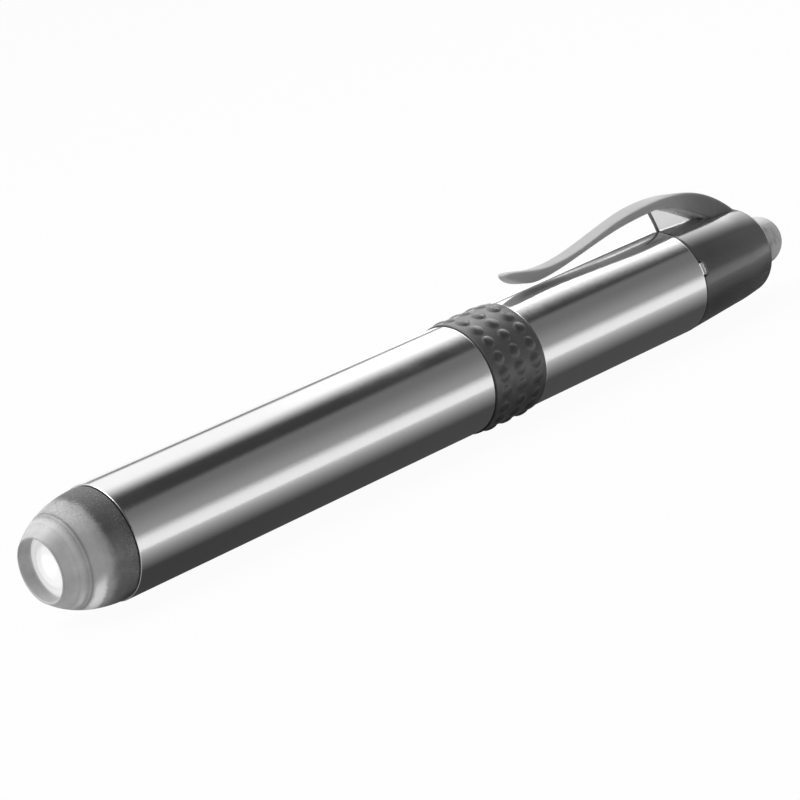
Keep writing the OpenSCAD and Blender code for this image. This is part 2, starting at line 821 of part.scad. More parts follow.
// Tail cap: hollow round body, spigot, web and the arch that the strap springs from
module rear_cap() {
    face_x = cap_x + seam_gap;
    hole_r = button_r + button_gap;
    seat_r = button_r + button_flange + button_gap;
    groove_r = tube_ri - 2 * cap_wire_r - press_gap - face_gap;
    groove_half = cap_wire_r + face_gap;
    rim_r = cap_rim_top_r - cap_rim_r;
    color("dimgray") difference() {
        union() {
            turned(concat(
                [
                    [cap_bore_r - over, spigot_x],
                    [stub_r, spigot_x],
                    [stub_r, cap_oring_x - groove_half],
                    [groove_r, cap_oring_x - groove_half],
                    [groove_r, cap_oring_x + groove_half],
                    [stub_r, cap_oring_x + groove_half],
                    [stub_r, face_x],
                    [cap_r, face_x]
                ],
                [for (i = [0 : curve_steps])
                    let (s = i / curve_steps)
                    [cap_flank_r - cap_round_in * pow(s, cap_round_power), cap_round_x + cap_round_l * s]],
                [for (a = [15 : 15 : 90]) [rim_r + cap_rim_r * cos(a), cap_rim_x + cap_rim_r * sin(a)]],
                [[hole_r - over, cap_end_x]]
            ));
            difference() {
                strap();
                in_front_of_hinge();
                knuckle(knuckle_r + running_gap);
            }
            web();
        }
        bar(cap_bore_r, spigot_x - over, lid_end_x + face_gap);
        bar(seat_r, lid_end_x, end_wall_x);
        bar(hole_r, end_wall_x - over, cap_end_x + over);
        rotate([slot_angle, 0, 0]) {
            translate([cap_x - over, -slot_w / 2, strip_r - sheet_t])
                cube([over + seam_gap + slot_l, slot_w, tube_r]);
            translate([strip_start_x - channel_gap, -channel_w / 2, strip_r - sheet_t - face_gap])
                cube([strip_leg_x + sheet_t - strip_start_x + 2 * channel_gap,
                      channel_w, sheet_t + 2 * face_gap + press_gap]);
            translate([strip_leg_x - channel_gap, -channel_w / 2, cap_bore_r - over])
                cube([sheet_t + 2 * channel_gap, channel_w, strip_r - cap_bore_r + over]);
        }
    }
}

module cap_oring() {
    color("black") wire_ring(tube_ri - cap_wire_r - press_gap, cap_wire_r, cap_oring_x);
}

// Metal strip from the steel tube to the switch, with its folded end in the cap's slot
module ground_strip() {
    color("goldenrod") rotate([slot_angle, 0, 0]) {
        translate([strip_start_x, -strip_w / 2, strip_r - sheet_t])
            cube([strip_leg_x + sheet_t - strip_start_x, strip_w, sheet_t]);
        translate([cap_x + strip_fold_set, -strip_w / 2, strip_r - sheet_t])
            cube([strip_fold_t, strip_w, sheet_t + strip_fold_h]);
        translate([strip_leg_x, -strip_w / 2, finger_r])
            cube([sheet_t, strip_w, strip_r - finger_r]);
        translate([strip_leg_x, -strip_w / 2, finger_r])
            cube([post_end_x - strip_leg_x, strip_w, sheet_t]);
    }
}

// Ring that holds the switch in the cap
module switch_retainer() {
    color("gray") pipe(retainer_ri, switch_r, retainer_x, retainer_end_x);
}

// Cup of the switch, closed towards the cells
module switch_body() {
    color("dimgray") difference() {
        turned([
            [rivet_r + press_gap, switch_x],
            [switch_r, switch_x],
            [switch_r, lid_x - face_gap],
            [switch_cavity_r, lid_x - face_gap],
            [switch_cavity_r, switch_cavity_x],
            [rivet_r + press_gap, switch_cavity_x]
        ]);
        rotate([slot_angle, 0, 0])
            translate([switch_x - over, -channel_w / 2, finger_r - face_gap])
                cube([switch_wall_t + 2 * over, channel_w, sheet_t + 2 * face_gap]);
    }
}

// Lid of the switch that guides the plunger
module switch_lid() {
    color("gray") pipe(rod_r + running_gap, switch_r, lid_x, lid_end_x);
}

// Brass rivet: the head meets the tail spring, and the post meets the disc
module tail_contact() {
    color("goldenrod") turned([
        [0, contact_face_x],
        [contact_head_r, contact_face_x],
        [contact_head_r, switch_x],
        [rivet_r, switch_x],
        [rivet_r, switch_cavity_x],
        [rivet_foot_r, switch_cavity_x],
        [rivet_foot_r, switch_cavity_x + sheet_t],
        [post_r, switch_cavity_x + sheet_t],
        [post_r, post_end_x],
        [0, post_end_x]
    ]);
}

// Spring that returns the button
module button_spring() {
    r = button_spring_d / 2;
    color("silver") coil(r, r, switch_cavity_x + face_gap, disc_x - face_gap,
                         button_wire_d / 2, button_turns);
}

// Springy strap, free from its tip to the hinge line
module clip_arm() {
    color("silver", 0.8) union() {
        intersection() {
            strap();
            in_front_of_hinge();
        }
        intersection() {
            knuckle(knuckle_r);
            clip_plan();
        }
    }
}

// Domed button with the flange that keeps it in the cap
module push_button() {
    flange_r = button_r + button_flange;
    color("lightgray", 0.8) turned(concat(
        [
            [button_cavity_r, flange_x],
            [flange_r, flange_x],
            [flange_r, flange_x + button_flange_t],
            [button_r, flange_x + button_flange_t]
        ],
        [for (a = [0 : 7.5 : 90]) [button_r * cos(a), button_dome_x + button_r * sin(a)]],
        [[0, button_cavity_end_x], [button_cavity_r, button_cavity_end_x]]
    ));
}

// Plunger between the button and the contact disc
module plunger() {
    head_r = button_cavity_r - press_gap;
    head_end_x = button_cavity_end_x - face_gap;
    collar_x = disc_x + disc_t;
    color("whitesmoke") turned([
        [0, disc_x],
        [pin_r, disc_x],
        [pin_r, collar_x],
        [collar_r, collar_x],
        [collar_r, collar_x + collar_t],
        [rod_r, collar_x + collar_t],
        [rod_r, flange_x],
        [head_r, flange_x],
        [head_r, head_end_x - plunger_edge],
        [head_r - plunger_edge, head_end_x],
        [0, head_end_x]
    ]);
}

// Disc that bridges the post and the ground strip when the button is pressed
module contact_disc() {
    color("goldenrod") pipe(pin_r + press_gap, disc_r, disc_x, disc_x + disc_t);
}

nose_cone();
lens();
reflector();
led();
led_leads();
lamp_holder();
lamp_board();
resistor();
front_contact();
ground_ring();
nose_oring();
front_tube();
battery_sleeve();
front_cell_can();
front_cell_jacket();
front_cell_cap();
rear_cell_can();
rear_cell_jacket();
rear_cell_cap();
coupler();
grip_ring();
joint_oring();
tail_spring();
rear_tube();
threaded_bush();
rear_cap();
cap_oring();
ground_strip();
switch_retainer();
switch_body();
switch_lid();
tail_contact();
button_spring();
clip_arm();
push_button();
plunger();
contact_disc();
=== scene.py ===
"""Looks of the pocket penlight: brushed steel barrel, frosted nose, rubber grip ring,
smoked tail cap with its strap clip, and a frosted push-button."""

import math

import bmesh
import bpy
from mathutils import Matrix, Vector
from mathutils.geometry import interpolate_bezier


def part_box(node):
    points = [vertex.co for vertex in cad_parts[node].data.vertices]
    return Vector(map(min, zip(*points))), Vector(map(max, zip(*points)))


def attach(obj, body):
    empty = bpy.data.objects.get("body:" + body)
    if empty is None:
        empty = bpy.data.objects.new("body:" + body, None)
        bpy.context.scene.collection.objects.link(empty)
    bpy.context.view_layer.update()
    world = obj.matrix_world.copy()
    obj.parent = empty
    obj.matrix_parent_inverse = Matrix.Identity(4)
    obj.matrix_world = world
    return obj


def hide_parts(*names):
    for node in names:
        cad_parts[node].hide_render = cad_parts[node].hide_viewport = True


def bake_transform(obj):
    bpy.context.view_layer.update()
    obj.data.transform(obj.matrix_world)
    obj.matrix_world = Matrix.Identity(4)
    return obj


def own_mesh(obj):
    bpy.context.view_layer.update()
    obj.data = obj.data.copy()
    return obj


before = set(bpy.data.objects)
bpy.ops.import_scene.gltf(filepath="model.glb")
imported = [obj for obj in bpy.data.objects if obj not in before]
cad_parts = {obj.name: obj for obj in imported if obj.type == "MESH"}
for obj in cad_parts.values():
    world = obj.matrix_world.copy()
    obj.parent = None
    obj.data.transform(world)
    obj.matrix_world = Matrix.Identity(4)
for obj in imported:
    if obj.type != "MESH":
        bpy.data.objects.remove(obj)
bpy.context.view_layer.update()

# Places along the barrel and radii, in millimetres, as in the part's source
MM = 0.001
NOSE_SEAM, GRIP_FRONT = [corner[0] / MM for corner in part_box("front_tube")]
GRIP_BACK, CAP_SEAM = [corner[0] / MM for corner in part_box("rear_tube")]
LIP_X, CAP_END = NOSE_SEAM - 8.6, CAP_SEAM + 15.4
TUBE_R, TUBE_BORE, SEAM_GAP, STUB_R = 7.0, 6.5, 0.15, 6.47
GRIP_R, NUB_H = 7.18, 0.22
LENS_FRONT, LENS_BACK = NOSE_SEAM - 6.8, NOSE_SEAM - 5.5

# Steps of a full turn, and how far round from the clip the cap's slot lies, in degrees
SPIN_STEPS = 192
SLOT_SIDE = 77


# Mesh tools


def ring_line(shape, outline, closed):
    """A chain of edges in the XZ plane through (radius, place along X) points, in millimetres."""
    verts = [shape.verts.new((x * MM, 0, r * MM)) for r, x in outline]
    pairs = list(zip(verts, verts[1:])) + ([(verts[-1], verts[0])] if closed else [])
    return verts + [shape.edges.new(pair) for pair in pairs]


def spin(shape, geom, steps, turns=1, rise=0.0, **options):
    """Spins a shape about the barrel's axis, and moves it along by a rise in metres each step."""
    bmesh.ops.spin(shape, geom=geom, cent=(0, 0, 0), axis=(1, 0, 0), dvec=(rise, 0, 0),
                   angle=math.tau * turns, steps=steps, **options)


def turn(outline, closed=True, steps=SPIN_STEPS):
    """A turned shape about the barrel's axis."""
    shape = bmesh.new()
    spin(shape, ring_line(shape, outline, closed), steps, use_merge=True)
    bmesh.ops.remove_doubles(shape, verts=shape.verts, dist=1e-7)
    bmesh.ops.recalc_face_normals(shape, faces=shape.faces)
    return shape


def round_edges(shape, edges, width, segments, **options):
    """Rounds edges by a width in the shape's own units."""
    bmesh.ops.bevel(shape, geom=edges, offset=width, offset_type="OFFSET", affect="EDGES",
                    segments=segments, profile=0.5, material=-1, **options)


def soften(shape, width, sharper_than, segments):
    """Rounds every edge that is sharper than an angle in degrees, by a width in millimetres."""
    limit = math.radians(sharper_than)
    sharp = [e for e in shape.edges if e.is_manifold and e.calc_face_angle(0) > limit]
    round_edges(shape, sharp, width * MM, segments, clamp_overlap=True)


def add_object(name, data):
    """A new object in the scene, at the origin."""
    made = bpy.data.objects.new(name, data)
    bpy.context.scene.collection.objects.link(made)
    return made


def add_mesh(name, shape, finish=None):
    """A new object with the shape's mesh."""
    mesh = bpy.data.meshes.new(name)
    shape.to_mesh(mesh)
    shape.free()
    if finish:
        mesh.materials.append(finish.material)
    return add_object(name, mesh)


def piece(name, shape, finish, body, stands_for=(), crease=35):
    """Makes a finished object from a shape, dresses it and lets it ride on its body."""
    limit = math.radians(crease)
    for face in shape.faces:
        face.smooth = True
    for edge in shape.edges:
        edge.smooth = not edge.is_manifold or edge.calc_face_angle(0) < limit
    made = add_mesh(name, shape, finish)
    if body:
        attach(made, body)
    if stands_for:
        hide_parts(*stands_for)
    return made


def wound_wire(radius_from, radius_to, x_from, x_to, wire, turns):
    """Round wire wound about the barrel's axis, with its radius changing along the way."""
    sides, steps_a_turn = 12, 28
    shape = bmesh.new()
    bmesh.ops.create_circle(shape, segments=sides, radius=wire / 2 * MM, cap_ends=True)
    start = Matrix.Translation(((x_from + wire / 2) * MM, 0, radius_from * MM))
    upright = Matrix.Rotation(math.pi / 2, 4, "X")
    bmesh.ops.transform(shape, matrix=start @ upright, verts=shape.verts)
    run = (x_to - x_from - wire) * MM
    count = round(steps_a_turn * turns)
    geom = shape.verts[:] + shape.edges[:] + shape.faces[:]
    spin(shape, geom, count, turns, run / count, use_duplicate=False)
    for vert in shape.verts:
        share = min(max((vert.co.x / MM - x_from - wire / 2) / (x_to - x_from - wire), 0), 1)
        reach = math.hypot(vert.co.y, vert.co.z)
        grown = (reach + (radius_to - radius_from) * share * MM) / reach
        vert.co.y *= grown
        vert.co.z *= grown
    bmesh.ops.recalc_face_normals(shape, faces=shape.faces)
    return shape


# Shader tools


class Wire:
    """A socket in a net of nodes. Sums and products with it add Math nodes."""

    def __init__(self, net, socket):
        self.net, self.socket = net, socket

    def math(self, operation, *others):
        return self.net.node("ShaderNodeMath", {"operation": operation}, [self, *others])

    def __add__(self, other):
        return self.math("ADD", other)

    def __mul__(self, other):
        return self.math("MULTIPLY", other)

    __radd__, __rmul__ = __add__, __mul__

    def __sub__(self, other):
        return self.math("SUBTRACT", other)

    def __rsub__(self, other):
        return self.net.node("ShaderNodeMath", {"operation": "SUBTRACT"}, [other, self])

    def __truediv__(self, other):
        return self.math("DIVIDE", other)

    def __pow__(self, other):
        return self.math("POWER", other)

    def __neg__(self):
        return self * -1.0

    def at_least(self, other):
        return self.math("MAXIMUM", other)

    def at_most(self, other):
        return self.math("MINIMUM", other)

    def between(self, low, high, to_low=0.0, to_high=1.0):
        """A smooth rise from to_low to to_high while the value goes from low to high."""
        return self.net.node("ShaderNodeMapRange", {"interpolation_type": "SMOOTHSTEP"},
                             [self, low, high, to_low, to_high])

    def within(self, rise_from, rise_to, fall_from, fall_to):
        """1 between two smooth slopes, and 0 outside them."""
        return self.between(rise_from, rise_to) * self.between(fall_from, fall_to, 1.0, 0.0)

    def apart(self):
        """The three parts of a vector."""
        return [self.net.node("ShaderNodeSeparateXYZ", None, [self], out=axis) for axis in "XYZ"]


class Net:
    """A tree of shader nodes."""

    def __init__(self, tree):
        self.tree = tree

    def node(self, kind, settings=None, values=None, out=0):
        """Adds a node, its settings before its sockets' values or links, and returns one output."""
        made = self.tree.nodes.new(kind)
        for key, value in (settings or {}).items():
            setattr(made, key, value)
        pairs = values.items() if isinstance(values, dict) else enumerate(values or [])
        for key, value in pairs:
            self.feed(made.inputs[key], value)
        return Wire(self, made.outputs[out])

    def feed(self, socket, value):
        if isinstance(value, Wire):
            self.tree.links.new(value.socket, socket)
        else:
            socket.default_value = value

    def blend(self, share, low, high):
        """A colour between two others, each a grey level, a triple or a wire."""
        low, high = [
            (c, c, c, 1) if isinstance(c, float) else (*c, 1) if isinstance(c, tuple) else c
            for c in (low, high)]
        return self.node("ShaderNodeMix", {"data_type": "RGBA"}, {0: share, 6: low, 7: high}, out=2)


class Finish(Net):
    """A material with its Principled shader and the helpers that feed it."""

    def __init__(self, name, **constants):
        self.material = bpy.data.materials.new(name)
        self.material.use_nodes = True
        super().__init__(self.material.node_tree)
        self.skin = self.tree.nodes["Principled BSDF"]
        self.set(**constants)
        self.place = self.node("ShaderNodeTexCoord", out="Object")

    def set(self, **values):
        """Feeds the shader's sockets, named with underscores for spaces."""
        for key, value in values.items():
            if isinstance(value, tuple) and len(value) == 3 and key != "Subsurface_Radius":
                value = (*value, 1)
            self.feed(self.skin.inputs[key.replace("_", " ")], value)

    def colour(self):
        """What feeds the base colour so far."""
        return Wire(self, self.skin.inputs["Base Color"].links[0].from_socket)

    def axes(self):
        """The three object coordinates, in millimetres."""
        return [part * 1000 for part in self.place.apart()]

    def reach(self):
        """The distance from the barrel's axis, in millimetres."""
        y, z = self.axes()[1:]
        return (y * y + z * z) ** 0.5

    def grain(self, scale, detail=3.0, roughness=0.55, stretch=None, distortion=0.0):
        """Noise from 0 to 1. The scale is in repeats a millimetre, and stretch scales each axis."""
        place = self.place
        if stretch:
            place = self.node("ShaderNodeMapping", None, {"Vector": place, "Scale": stretch})
        return self.node("ShaderNodeTexNoise", None,
                         {"Vector": place, "Scale": scale * 1000, "Detail": detail,
                          "Roughness": roughness, "Distortion": distortion})

    def relief(self, height, depth, strength):
        """A bump whose height from 0 to 1 stands for a depth in millimetres."""
        return self.node("ShaderNodeBump", None,
                         {"Strength": strength, "Distance": depth * MM, "Height": height})


# Finishes of the outside


def brushed_steel(name, x_from, x_to):
    """Steel tube with fine turned lines, a fine grain, faint handling marks and brighter rims."""
    steel = Finish(name, Metallic=1.0)
    x = steel.axes()[0]
    lines = steel.grain(0.02, detail=2.0, stretch=(420, 3, 3))
    grit = steel.grain(5.5, detail=1.5, roughness=0.5)
    smudges = steel.grain(0.09, detail=4.0, distortion=0.6)
    rim = (x - x_from).at_most(x_to - x)
    # Wear by the tube's ends makes them paler and rougher
    marked_zone = rim.between(0.0, 0.5, 1.0, 0.0)
    tone = lines * 0.5 + smudges * 0.3 + marked_zone * 0.4
    steel.set(
        Base_Color=steel.blend(tone, 0.76, 0.87),
        Roughness=0.10 + lines * 0.04 + smudges.between(0.45, 0.75) * 0.05 + marked_zone * 0.05,
        Normal=steel.relief(lines * 0.15 + grit * 0.85, 0.008, 0.8),
    )
    return steel


def turned_metal(name, shade, roughness, ring_scale=160):
    """Turned or stamped metal with rings round the axis and small scratches."""
    metal = Finish(name, Metallic=1.0)
    rings = metal.grain(0.02, detail=2.0, stretch=(ring_scale, 4, 4))
    marks = metal.grain(0.5, detail=4.0, distortion=1.0)
    metal.set(
        Base_Color=metal.blend(rings * 0.6 + marks * 0.4, tuple(c * 0.82 for c in shade), shade),
        Roughness=roughness + rings * 0.10 + marks.between(0.5, 0.8) * 0.08,
        Normal=metal.relief(rings, 0.006, 0.5),
    )
    return metal


def moulded(name, shade, roughness, grain=6.0, depth=0.008, coat=0.0):
    """Moulded plastic or film with a fine grain and a slight change of tone."""
    plastic = Finish(name, Coat_Weight=coat, Coat_Roughness=0.15)
    fine = plastic.grain(grain)
    slow = plastic.grain(0.12, detail=2.0)
    deep, pale = tuple(c * 0.85 for c in shade), tuple(min(c * 1.12, 1) for c in shade)
    plastic.set(
        Base_Color=plastic.blend(slow * 0.6 + fine * 0.4, deep, pale),
        Roughness=roughness - 0.06 + fine * 0.12,
        Normal=plastic.relief(fine, depth, 0.4),
    )
    return plastic


def grip_rubber():
    """Dark rubber: fine matt skin, slightly polished on top of the nubs, where painted shade makes
    it darker.
    """
    rubber = Finish("grip_rubber", Specular_IOR_Level=0.5, Sheen_Weight=0.3, Sheen_Roughness=0.3,
                    Coat_Weight=0.8, Coat_Roughness=0.28)
    top = rubber.reach().between(GRIP_R + 0.03, GRIP_R + NUB_H)
    fine = rubber.grain(9.0)
    dust = rubber.grain(0.5, detail=4.0, distortion=0.4)
    # Painted shade: the nubs' tops are painted darker; the dust is the rubber's own
    tone = dust.between(0.45, 0.8) * 0.25 + fine * 0.2 - top * 0.55 + 0.5
    rubber.set(
        Base_Color=rubber.blend(tone.at_least(0.0), 0.03, 0.095),
        Roughness=0.38 - top * 0.06 + fine * 0.14,
        Normal=rubber.relief(fine, 0.008, 0.4),
    )
    return rubber


def frosted_nose():
    """Frosted light plastic: pale over the lens, whose edges show as lines, dark over the holder.
    Its flank carries painted shade, and two patches low on its side a painted glow that stands in
    for the lamp's light."""
    frost = Finish("frosted_nose", IOR=1.46, Transmission_Weight=0.15,
                   Coat_Weight=0.15, Coat_Roughness=0.3)
    x, y, z = frost.axes()
    back = x - NOSE_SEAM
    speckle = frost.grain(5.5, detail=4.0, roughness=0.7)
    cloud = frost.grain(0.45, distortion=0.9)
    wander = back + (cloud - 0.5) * 0.7
    holder = wander.between(-3.9, -2.7)
    lens_front = back.within(-7.15, -6.9, -6.65, -6.4)
    lens_back = back.within(-6.0, -5.9, -5.82, -5.62) + back.within(-6.35, -6.25, -6.2, -6.1) * 0.45
    # A band behind the lens, painted paler as if lit by the lamp
    glow = wander.within(-5.9, -5.2, -4.6, -3.9)
    low_side = (y * -0.63 - z * 0.777).between(4.9, 6.0)
    reach_squared = y * y + z * z
    up = z / reach_squared ** 0.5
    # Painted shade: the flank is painted darker towards its top, except at a crown by the front top
    crown = up.between(0.80, 0.97) * back.between(-7.2, -6.2, 1.0, 0.0)
    # Painted shade: the opening's inner wall is painted darker low down
    opening = reach_squared.between(14.0, 14.3, 1.0, 0.0) * up.between(-0.8, 0.4, 0.28, 0.0)
    tone = 0.33 + up.between(-0.1, 0.65) * (1 - crown) * 0.22 + opening
    # Painted glow: low on the side, the lens's front edge and the band behind the lens are painted
    # paler
    tone = tone + holder * 0.50 + lens_back * 0.26 - lens_front * (0.14 + low_side * 0.25)
    tone = tone - glow * (0.08 + low_side * 0.40)
    # The speckle shows stronger high up and towards the seam
    marked_zone = (z + back * 0.25).between(1.5, 5.0) + wander.between(-2.2, -0.4) * 0.6
    tone = tone + (cloud - 0.5) * 0.30 + (speckle.between(0.40, 0.60) - 0.5) * (0.05 + marked_zone * 0.22)
    # Painted glow of the two low patches, standing in for the lamp's light
    painted_shine = low_side * (glow * 0.75 + lens_front) * (0.5 + speckle)
    frost.set(
        Base_Color=frost.blend(tone.at_least(0.0), 0.82, 0.10),
        Emission_Color=frost.blend(painted_shine, 0.0, 1.0),
        Emission_Strength=0.34,
        Roughness=0.38 + speckle * 0.2,
        Normal=frost.relief(speckle, 0.020, 0.55),
    )
    return frost


def lens_painted_glow():
    """Clear lens in front of the white lamp: white, with faint rings and a weak painted glow of its
    own.
    """
    glass = Finish("lens_painted_glow", Roughness=0.08, IOR=1.5, Emission_Strength=0.55,
                   Coat_Weight=0.4, Coat_Roughness=0.03)
    reach = glass.reach()
    rings = (reach * 5.2).math("SINE") * 0.5 + 0.5
    haze = glass.grain(0.4, detail=2.0)
    edge = reach.between(3.0, 3.7)
    tone = rings * 0.22 * reach.between(1.0, 2.2) + haze * 0.1 + edge * 0.15
    glass.set(
        Base_Color=glass.blend(tone, 0.62, 0.3),
        # Painted glow: the lens gives light of its own, standing in for the lamp behind it
        Emission_Color=glass.blend(tone * 1.2, 1.0, 0.55),
    )
    return glass


def smoked_plastic(name, front_shade, back_shade, x_from, x_to, roughness, **constants):
    """Smoked translucent plastic. Its shade changes from one place along the barrel to another, and
    the cap's rounded end has the second, paler shade all over, a painted highlight on its rim."""
    smoke = Finish(name, IOR=1.5, Coat_Roughness=0.12, **constants)
    x = smoke.axes()[0]
    swirl = smoke.grain(0.22, detail=4.0, distortion=1.2)
    fine = smoke.grain(7.0)
    # Painted highlight: the cap's rounded rim is painted with the paler back shade
    rim = x.between(CAP_END - 0.75, CAP_END - 0.25)
    share = x.between(x_from, x_to) * 0.8 + (swirl - 0.5) * 0.35 + rim * 0.8
    smoke.set(
        Base_Color=smoke.blend(share.at_least(0.0), front_shade, back_shade),
        Roughness=roughness + fine * 0.08 + swirl * 0.05,
        Normal=smoke.relief(fine, 0.004, 0.3),
    )
    return smoke


# Outside pieces


def nose_outline():
    """The frosted nose in section: round lip, curved flank, neck and the lens's seat."""
    lip_r, opening_r, nose_r, curve_l, flank_l = 0.15, 3.75, 6.85, 10.4774, 8.45
    neck_end, neck_bore, seat_bore = NOSE_SEAM + 5.3, 5.37, 4.43
    lip = [(opening_r + lip_r * (1 - math.cos(a)), LIP_X + lip_r * (1 - math.sin(a)))
           for a in (math.pi * i / 10 for i in range(11))]
    a_from, a_to = math.asin(flank_l / curve_l), math.asin(SEAM_GAP / curve_l)
    flank = [(nose_r * math.cos(a), NOSE_SEAM - curve_l * math.sin(a))
             for a in (a_from + (a_to - a_from) * i / 40 for i in range(1, 41))]
    inner = [(STUB_R, NOSE_SEAM - SEAM_GAP), (STUB_R, neck_end), (neck_bore, neck_end),
             (neck_bore, LENS_BACK), (seat_bore, LENS_BACK), (seat_bore, LENS_FRONT),
             (opening_r, LENS_FRONT)]
    return lip + flank + inner


def make_nose():
    """The frosted shell and the domed lens behind its opening."""
    shape = turn(nose_outline())
    soften(shape, 0.06, 50, 2)
    piece("nose_shell", shape, frosted_nose(), "front_half", ["nose_cone"])
    front_r, front_h, back_r, back_h, lens_r = 3.7, 0.6, 3.5, 0.25, 4.4
    front = [(front_r * i / 24, LENS_FRONT - front_h * (1 - (i / 24) ** 2)) for i in range(25)]
    back = [(back_r * (1 - i / 12), LENS_BACK + back_h * (1 - (1 - i / 12) ** 2))
            for i in range(13)]
    shape = turn(front + [(lens_r, LENS_FRONT), (lens_r, LENS_BACK)] + back, closed=False)
    piece("lens_dome", shape, lens_painted_glow(), "front_half", ["lens"])


def make_tube(name, node, body, x_from, x_to):
    """A barrel tube. Close rings by its ends keep the long faces' shading straight."""
    near = [0.18, 0.3, 0.6, 1.2]
    wall = ([x_from + x for x in near] + [x_from + (x_to - x_from) * i / 8 for i in range(1, 8)]
            + [x_to - x for x in reversed(near)])
    shape = turn([(TUBE_BORE, x_from), (TUBE_R, x_from)] + [(TUBE_R, x) for x in wall]
                 + [(TUBE_R, x_to), (TUBE_BORE, x_to)])
    soften(shape, 0.10, 40, 4)
    piece(name, shape, brushed_steel(name + "_steel", x_from, x_to), body, [node])


def make_grip():
    """The rubber ring. Its skin is a fine grid that rises into three rows of round nubs."""
    x_from, x_to, ring_r, edge = GRIP_FRONT + SEAM_GAP, GRIP_BACK - SEAM_GAP, GRIP_R, 0.15
    bore_r, nub_r, pitch, nubs, nub_shape = 6.73, 0.90, 2.8, 20, 0.62
    corner = [(ring_r - edge * (1 - math.sin(a)), edge * (1 - math.cos(a)))
              for a in (math.pi / 2 * i / 5 for i in range(6))]
    flat = [(ring_r, x_from + edge + (x_to - x_from - 2 * edge) * i / 72) for i in range(1, 72)]
    skin = ([(r, x_from + x) for r, x in corner] + flat
            + [(r, x_to - x) for r, x in reversed(corner)])
    shape = turn([(bore_r, x_from)] + skin + [(bore_r, x_to)], steps=360)
    middle = (x_from + x_to) / 2
    for vert in shape.verts:
        reach = math.hypot(vert.co.y, vert.co.z) / MM
        if reach < ring_r - 0.001:
            continue
        row = min(max(round((vert.co.x / MM - middle) / pitch), -1), 1)
        turned = math.degrees(math.atan2(-vert.co.y, vert.co.z)) / (360 / nubs)
        aside = (turned - round(turned)) * math.tau / nubs * ring_r
        along = vert.co.x / MM - middle - row * pitch
        inside = 1 - (aside ** 2 + along ** 2) / nub_r ** 2
        if inside > 0:
            grown = 1 + NUB_H * inside ** nub_shape / reach
            vert.co.y *= grown
            vert.co.z *= grown
    piece("grip_band", shape, grip_rubber(), "front_half", ["grip_ring"])


def make_coupler():
    """The coupler, with a real thread of 1 mm pitch wound over its root."""
    front, root, end = GRIP_FRONT - 8, GRIP_BACK + 0.73, GRIP_BACK + 6.73
    bore_r, shoulder_r, crest_r, root_r, foot_r = 5.55, 6.7, 6.0, 5.85, 5.84
    turns, steps_a_turn, pitch = 5, 96, 1.0
    outer = [(bore_r, front), (STUB_R, front), (STUB_R, GRIP_FRONT), (shoulder_r, GRIP_FRONT),
             (shoulder_r, GRIP_BACK), (crest_r, GRIP_BACK), (crest_r, root), (root_r, root + 0.15),
             (root_r, end), (bore_r, end)]
    shape = turn(outer)
    soften(shape, 0.05, 40, 2)
    section = [(foot_r, root), (crest_r, root + 0.15), (crest_r, root + 0.45), (foot_r, root + 0.6)]
    crest = ring_line(shape, section, closed=True)
    spin(shape, crest, turns * steps_a_turn, turns, pitch * MM / steps_a_turn)
    bmesh.ops.recalc_face_normals(shape, faces=shape.faces)
    metal = turned_metal("coupler_metal", (0.74, 0.74, 0.75), 0.22)
    piece("coupler_thread", shape, metal, "front_half", ["coupler"])


def cap_outline():
    """The tail cap in section."""
    spigot, groove, groove_end = CAP_SEAM - 5.5, CAP_SEAM - 4.865, CAP_SEAM - 4.235
    front, bend, lip, step = CAP_SEAM + SEAM_GAP, CAP_SEAM + 10, CAP_END - 1.4, CAP_SEAM + 10.7
    bore_r, groove_r, button_r, flange_r = 5.45, 5.84, 3.5, 4.8
    front_r, taper, curl, curl_l, rim_r, end_r = 6.97, 0.6, 0.43, 4.5, 0.9, 5.04
    run = bend - front
    straight = [(front_r - taper * i / 8, front + run * i / 8) for i in range(8)]
    straight[1:1] = [(front_r - taper * x / run, front + x) for x in (0.5, 0.85, 1.0)]
    flank = [(front_r - taper - curl * (i / 16) ** 1.5, bend + curl_l * i / 16)
             for i in range(17)]
    rim = [(end_r + rim_r * math.cos(a), CAP_END - rim_r + rim_r * math.sin(a))
           for a in (math.pi / 2 * i / 10 for i in range(1, 11))]
    return ([(bore_r, spigot), (STUB_R, spigot), (STUB_R, groove), (groove_r, groove),
             (groove_r, groove_end), (STUB_R, groove_end), (STUB_R, front)] + straight + flank + rim
            + [(button_r, CAP_END), (button_r, lip), (flange_r, lip), (flange_r, step),
               (bore_r, step)])


def slot_block(size, along, out, corner, segments):
    """A block in the cap's slot, with the edges rounded that are as long as its last side."""
    shape = bmesh.new()
    bmesh.ops.create_cube(shape, size=1)
    sides = Matrix.Diagonal((*[side * MM for side in size], 1))
    aside = Matrix.Rotation(math.radians(SLOT_SIDE), 4, "X")
    place = aside @ Matrix.Translation((along * MM, 0, out * MM))
    bmesh.ops.transform(shape, matrix=place @ sides, verts=shape.verts)
    corners = [e for e in shape.edges if abs(e.calc_length() - size[2] * MM) < 1e-6]
    round_edges(shape, corners, corner * MM, segments)
    bmesh.ops.recalc_face_normals(shape, faces=shape.faces)
    return shape


